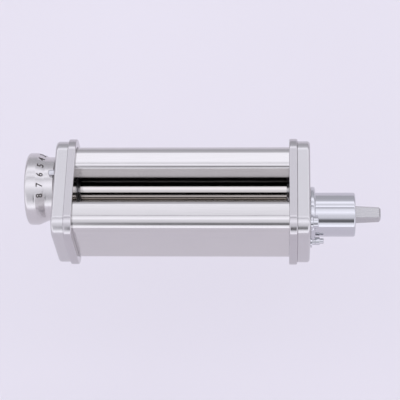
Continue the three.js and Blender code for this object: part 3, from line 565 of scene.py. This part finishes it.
def bush(name, axis, side, body):
    low, high = box_mm(name)
    end = max(abs(low.x - MIDDLE), abs(high.x - MIDDLE))
    bore = SHAFT + GAP
    outline = [
        (FLANGE[0], bore, BORE_EDGE), (FLANGE[0], FLANGE_RADIUS, EDGE), (FLANGE[1], FLANGE_RADIUS, EDGE),
        (FLANGE[1], BUSH), (end, BUSH, EDGE), (end, bore, BORE_EDGE),
    ]
    obj = turned(name, [(side * x, r) for x, r in eased(outline, 4, closed=True)], axis, 96, ring=True)
    place(obj, name + "_turned", body, [name], GROUND)


for end, side in (("knob", -1), ("hub", 1)):
    bush(f"front_bush_{end}", FRONT, side, "frame")
    bush(f"rear_bush_{end}", REAR, side, "carrier")


# ------------------------------------------------------------------ spigot side
def spigot():
    foot = CAP_INSIDE + GAP
    outline = [
        (foot, 0), (foot, REGISTER, EDGE), (FLANGE_BACK, REGISTER), (FLANGE_BACK, SPIGOT_FLANGE, 0.4),
        (FLANGE_FACE, SPIGOT_FLANGE, 1.5), (FLANGE_FACE, SPIGOT_TUBE, 0.4),
        (SPIGOT_END, SPIGOT_TUBE, 1.2), (SPIGOT_END, 0),
    ]
    obj = turned("mount_spigot", eased(outline, 6), FRONT, 128)
    ear_face = FLANGE_BACK + EAR["thick"]
    ears = [rod(MOUNT_SCREW["head"] + EAR["rim"], FLANGE_BACK, ear_face, axis, 48) for axis in MOUNT_AXES]
    ears.append(rod(PIN["radius"] + BOSS["rim"], FLANGE_BACK, FLANGE_FACE - BOSS["drop"], LOCATING, 48))
    carve(obj, *ears, operation="UNION")
    wall, neck = SPIGOT_BUSH["wall"], DRIVE["neck"]
    seat = SPIGOT_END - SPIGOT_BUSH["length"]
    through = (FLANGE_BACK - PAST, FLANGE_FACE + PAST)
    cutters = [
        rod(SPIGOT_BORE, CAP_INSIDE - PAST, seat - wall, FRONT, 64),
        rod(neck + wall + 2 * GAP, seat, SPIGOT_END + PAST, FRONT, 64),
        rod(neck + GAP, seat - 2 * wall, SPIGOT_END, FRONT, 64),
        rod(PIN["radius"] + GAP, *through, LOCATING, 48),
    ]
    for axis in MOUNT_AXES:
        cutters.append(rod(MOUNT_SCREW["shank"] + GAP, *through, axis, 32))
        cutters.append(rod(MOUNT_SCREW["head"] + GAP, ear_face, FLANGE_FACE + PAST, axis, 64))
    carve(obj, *cutters)
    place(obj, "mount_spigot_turned", "frame", ["mount_spigot"], CHROME)


def spigot_bush():
    near = SPIGOT_END - SPIGOT_BUSH["length"] + GAP
    bore = DRIVE["neck"] + GAP
    outer = bore + SPIGOT_BUSH["wall"]
    outline = [
        (near, bore, FINE_EDGE), (near, outer, FINE_EDGE),
        (SPIGOT_END, outer, FINE_EDGE), (SPIGOT_END, bore, EDGE),
    ]
    obj = turned("spigot_bush", eased(outline, 4, closed=True), FRONT, 96, ring=True)
    place(obj, "spigot_bush_turned", "frame", ["spigot_bush"], BRONZE)


def locating_pin():
    """A pin with a narrow tip and a turned groove round its middle."""
    radius, end = PIN["radius"], FLANGE_BACK + PIN["length"]
    tip = end + PIN["tip_length"]
    first, last = [end - back for back in PIN["groove"]]
    low = radius - PIN["groove_depth"]
    outline = [
        (FLANGE_BACK, 0), (FLANGE_BACK, radius, 0.1), (first, radius), (first + 0.1, low),
        (last - 0.1, low), (last, radius), (end, radius, 0.5), (end, PIN["tip"], BORE_EDGE),
        (tip, PIN["tip"], 0.6), (tip, 0),
    ]
    obj = turned("locating_pin", eased(outline, 6), LOCATING, 64)
    place(obj, "locating_pin_turned", "frame", ["locating_pin"], CHROME)


def drive_shaft():
    left, shoulder = -(OUTER + SHAFT_PAST), CAP_INSIDE + CAP_WALL / 2
    ring = -(OUTER + GAP)
    far, low = ring - SNAP_GROOVE["width"], SHAFT - SNAP_GROOVE["depth"]
    neck, ease = DRIVE["neck"], DRIVE["shoulder"]
    outline = [
        (left, 0), (left, SHAFT, 0.4), (far, SHAFT), (far, low), (ring, low), (ring, SHAFT),
        (shoulder, SHAFT), (shoulder, neck, ease), (SPIGOT_END, neck, ease), (SPIGOT_END, 0),
    ]
    obj = turned("drive_shaft", eased(outline, 5), FRONT, 96)

    def square(flats, corner=DRIVE["corner"]):
        return rounded(flats, flats, corner, 5, FRONT)

    rings = [
        (SPIGOT_END - DRIVE["overlap"], square(DRIVE["flats"])),
        (DRIVE_END - DRIVE["chamfer"], square(DRIVE["tip_flats"])),
        (DRIVE_END - DRIVE["chamfer"] / 3, square(6.9, 0.7)),
        (DRIVE_END, square(DRIVE["tip_flats"] - 2 * DRIVE["chamfer"], 0.6)),
    ]
    carve(obj, lofted("cutter", rings), operation="UNION")
    place(obj, "drive_shaft_turned", "front_roller", ["drive_shaft"], BRIGHT)


spigot()
spigot_bush()
locating_pin()
drive_shaft()


# ------------------------------------------------------------------ knob
def knob():
    edges = KNOB_EDGES
    outline = [
        (-KNOB_FACE, 0), (-KNOB_FACE, RIM, edges["face"]), (-CONE_OUT, RIM, edges["rim"]),
        (-CONE_IN, NECK, edges["neck"]), (-KNOB_BACK, NECK, edges["back"]), (-KNOB_BACK, 0),
    ]
    obj = turned("regulator_knob", eased(outline, 8), KNOB, 160)
    well = MIDDLE - box_mm("knob_spring")[1].x - GAP
    behind = -KNOB_BACK + PAST
    cutters = [
        rod(LID["seat"], -KNOB_FACE - PAST, -KNOB_FACE + LID["thick"] + GAP, KNOB, 96),
        rod(HOLLOW, -KNOB_FACE, -(well + RIM_WEB), KNOB, 80),
        rod(WELL, -KNOB_FACE, -well, KNOB, 64),
        rod(SPINDLE + GAP, -KNOB_FACE, behind, KNOB, 48),
        rod(HUB + GAP, -KNOB_BACK - HUB_DEPTH, behind, KNOB, 64),
    ]
    for setting in range(1, SETTINGS + 1):
        spot = polar(KNOB, DETENT_PITCH, 90 - (CURRENT - setting) * STEP)
        cutters.append(rod(DETENT_HOLE, -KNOB_BACK - DETENT_DEPTH, behind, spot, 32))
    carve(obj, *cutters)
    place(obj, "regulator_knob_turned", "knob", ["regulator_knob"], DIAL)


def knob_lid():
    face, back = -KNOB_FACE + LID["sunk"], -KNOB_FACE + LID["thick"]
    radius = LID["radius"] - LID["drawn_in"]
    outline = [(face, 0), (face, radius, 0.4), (back, radius, FINE_EDGE), (back, 0)]
    obj = turned("knob_lid", eased(outline, 5), KNOB, 128)
    place(obj, "knob_lid_turned", "knob", ["knob_lid"], DIAL)


knob()
knob_lid()


def numeral(setting):
    """A number on the knob's cone, its top towards the outer face, read with the knob on the left."""
    curve = bpy.data.curves.new("numeral", "FONT")
    curve.body, curve.size = str(setting), DIGIT["height"] / DIGIT["capitals"]
    curve.resolution_u = 4
    curve.align_x, curve.align_y = "CENTER", "CENTER"
    curve.extrude, curve.offset = DIGIT["thick"], DIGIT["bolder"]
    holder = bpy.data.objects.new("numeral", curve)
    bpy.context.scene.collection.objects.link(holder)
    mesh = bpy.data.meshes.new_from_object(holder.evaluated_get(bpy.context.evaluated_depsgraph_get()))
    bpy.data.objects.remove(holder)
    obj = bpy.data.objects.new(f"numeral_{setting}", mesh)
    bpy.context.scene.collection.objects.link(obj)
    made = bmesh.new()
    made.from_mesh(mesh)
    bmesh.ops.remove_doubles(made, verts=made.verts, dist=0.002)
    xs = [v.co.x for v in made.verts]
    ys = [v.co.y for v in made.verts]
    mid_x, mid_y = (min(xs) + max(xs)) / 2, (min(ys) + max(ys)) / 2
    squeeze = DIGIT["height"] / (max(ys) - min(ys))
    long_edges = [e for e in made.edges if e.calc_length() > 0.8]
    bmesh.ops.subdivide_edges(made, edges=long_edges, cuts=3)
    run = (RIM - NECK) / (CONE_OUT - CONE_IN)
    middle = (CONE_OUT + CONE_IN) / 2
    turn = 90 - (CURRENT - setting) * STEP - DIAL_OFFSET
    for v in made.verts:
        x = -(middle + (v.co.y - mid_y) * squeeze * math.cos(math.atan(run)))
        radius = NECK + run * (-x - CONE_IN) + DIGIT["proud"] + v.co.z
        angle = turn - math.degrees((v.co.x - mid_x) * squeeze * DIGIT["width"] / radius)
        v.co = Vector((x + MIDDLE, *polar(KNOB, radius, angle))) * MM
    bmesh.ops.recalc_face_normals(made, faces=made.faces)
    made.to_mesh(mesh)
    made.free()
    place(obj, f"numeral_{setting}", "knob", [], INK, 40)


for setting in range(1, SETTINGS + 1):
    numeral(setting)

def spring():
    """The coil behind the lid."""
    low, high = box_mm("knob_spring")
    wire, turns = SPRING["wire"], SPRING["turns"]
    steps, sides = 48, 12
    radius = (high.y - low.y) / 2 - wire
    start, end = high.x - MIDDLE - wire, low.x - MIDDLE + wire
    count = turns * steps
    climb = (end - start) / (2 * math.pi * turns * radius)
    verts, faces = [], []
    for i in range(count + 1):
        angle = 2 * math.pi * i / steps
        outward = Vector((0, math.cos(angle), math.sin(angle)))
        along = Vector((climb, -math.sin(angle), math.cos(angle))).normalized()
        across = along.cross(outward)
        centre = Vector((start + (end - start) * i / count, *KNOB)) + outward * radius
        for k in range(sides):
            turn = 2 * math.pi * k / sides
            verts.append(tuple(centre + wire * (outward * math.cos(turn) + across * math.sin(turn))))
    for i in range(count):
        for k in range(sides):
            n = (k + 1) % sides
            faces.append((i * sides + k, i * sides + n, (i + 1) * sides + n, (i + 1) * sides + k))
    faces += [tuple(range(sides)), tuple(range(count * sides, (count + 1) * sides))]
    obj = new_object("knob_spring", verts, faces)
    place(obj, "knob_spring_coiled", "knob", ["knob_spring"], BRIGHT)
    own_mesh(obj)


def index_pin():
    low, high = box_mm("index_pin")
    tip, base, end = low.x - MIDDLE, -(CAP_FACE + GAP), high.x - MIDDLE
    radius, shank = INDEX_PIN["radius"], INDEX_PIN["shank"]
    outline = [
        (tip, 0), (tip, radius, INDEX_PIN["dome"]), (base, radius, BORE_EDGE),
        (base, shank), (end, shank), (end, 0),
    ]
    obj = turned("index_pin", eased(outline, 8), INDEX, 64)
    place(obj, "index_pin_turned", "frame", ["index_pin"], CHROME)


spring()
index_pin()


# ------------------------------------------------------------------ camera, floor and light
def camera():
    data = bpy.data.cameras.new("camera")
    data.lens, data.sensor_width = 132.52, 36.0
    data.clip_start, data.clip_end = 0.05, 20.0
    obj = bpy.data.objects.new("camera", data)
    bpy.context.scene.collection.objects.link(obj)
    height, yaw, roll = math.radians(63.01), math.radians(6.886), math.radians(-6.139)
    back = Vector((math.sin(yaw) * math.cos(height), -math.cos(yaw) * math.cos(height), math.sin(height)))
    right = Vector((math.cos(yaw), math.sin(yaw), 0))
    up = back.cross(right)
    across = math.cos(roll) * right + math.sin(roll) * up
    above = -math.sin(roll) * right + math.cos(roll) * up
    target = Vector(((MIDDLE + 11.885) * MM, 0, 0.034828))
    spot = target + back * 1.04471
    turn = Matrix((across, above, back)).transposed().to_4x4()
    obj.matrix_world = Matrix.Translation(spot) @ turn
    bpy.context.scene.camera = obj


def floor():
    mesh = bpy.data.meshes.new("floor")
    size, drop = 6.0, -0.24
    corners = [(-size, -size, drop), (size, -size, drop), (size, size, drop), (-size, size, drop)]
    mesh.from_pydata(corners, [], [(0, 1, 2, 3)])
    obj = bpy.data.objects.new("floor", mesh)
    bpy.context.scene.collection.objects.link(obj)
    paint = matte("floor_paper", (0.765, 0.73, 0.765), 0.9, 0.02, 40.0)
    mesh.materials.append(paint)
    obj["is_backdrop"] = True


def fill_ramp(node, stops, tint):
    """Sets a colour ramp from (degrees from straight up towards the front, level) stops."""
    node.color_ramp.interpolation = "EASE"
    elements = node.color_ramp.elements
    while len(elements) > 1:
        elements.remove(elements[0])
    for k, (degrees, level) in enumerate(stops):
        spot = degrees / 360 + 0.5
        element = elements[0] if k == 0 else elements.new(spot)
        element.position = spot
        element.color = (*[level * t for t in tint], 1)


def surroundings():
    """A bright soft sky, darker behind, with a dark band low in front that the bends mirror."""
    world = bpy.data.worlds.new("studio")
    bpy.context.scene.world = world
    world.use_nodes = True
    nodes, links = world.node_tree.nodes, world.node_tree.links
    background = nodes["Background"]
    where = nodes.new("ShaderNodeTexCoord")
    split = nodes.new("ShaderNodeSeparateXYZ")
    front = nodes.new("ShaderNodeMath")
    front.operation = "MULTIPLY"
    front.inputs[1].default_value = -1.0
    angle = nodes.new("ShaderNodeMath")
    angle.operation = "ARCTAN2"
    share = nodes.new("ShaderNodeMapRange")
    share.inputs["From Min"].default_value = -math.pi
    share.inputs["From Max"].default_value = math.pi
    sky = nodes.new("ShaderNodeValToRGB")
    band = nodes.new("ShaderNodeValToRGB")
    offset = nodes.new("ShaderNodeMath")
    offset.operation = "SUBTRACT"
    offset.inputs[1].default_value = 0.04
    spread = nodes.new("ShaderNodeMath")
    spread.operation = "ABSOLUTE"
    fade = nodes.new("ShaderNodeMapRange")  # the band dies away towards both sides
    fade.inputs["From Min"].default_value = 0.21
    fade.inputs["From Max"].default_value = 0.17
    weaker = nodes.new("ShaderNodeMix")
    weaker.data_type = "RGBA"
    weaker.inputs["A"].default_value = (1, 1, 1, 1)
    both = nodes.new("ShaderNodeMix")
    both.data_type, both.blend_type = "RGBA", "MULTIPLY"
    both.inputs["Factor"].default_value = 1.0
    links.new(where.outputs["Generated"], split.inputs["Vector"])
    links.new(split.outputs["Y"], front.inputs[0])
    links.new(front.outputs["Value"], angle.inputs[0])
    links.new(split.outputs["Z"], angle.inputs[1])
    links.new(angle.outputs["Value"], share.inputs["Value"])
    links.new(share.outputs["Result"], sky.inputs["Fac"])
    links.new(share.outputs["Result"], band.inputs["Fac"])
    links.new(split.outputs["X"], offset.inputs[0])
    links.new(offset.outputs["Value"], spread.inputs[0])
    links.new(spread.outputs["Value"], fade.inputs["Value"])
    links.new(fade.outputs["Result"], weaker.inputs["Factor"])
    links.new(band.outputs["Color"], weaker.inputs["B"])
    links.new(sky.outputs["Color"], both.inputs["A"])
    links.new(weaker.outputs["Result"], both.inputs["B"])
    links.new(both.outputs["Result"], background.inputs["Color"])
    fill_ramp(sky, [
        (-105, 0.38), (-70, 0.38), (-52, 0.46), (-43, 0.90), (-36, 0.96), (-33, 0.76), (-30, 0.66),
        (-24, 0.66), (-20, 0.94), (-15, 1.0), (-13, 0.46), (-8, 0.46), (-3, 0.74), (8, 0.86),
        (14, 0.96), (20, 0.84), (30, 0.66), (46, 0.58), (58, 0.72), (76, 0.78), (86, 1.0), (100, 1.0),
    ], (0.905, 0.907, 1.0))
    fill_ramp(band, [(43, 1.0), (53, 0.30), (60, 0.10), (66, 0.30), (74, 1.0)], (1, 1, 1))
    background.inputs["Strength"].default_value = 1.67


camera()
floor()
surroundings()
bpy.context.scene.view_settings.view_transform = "Standard"

low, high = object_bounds()
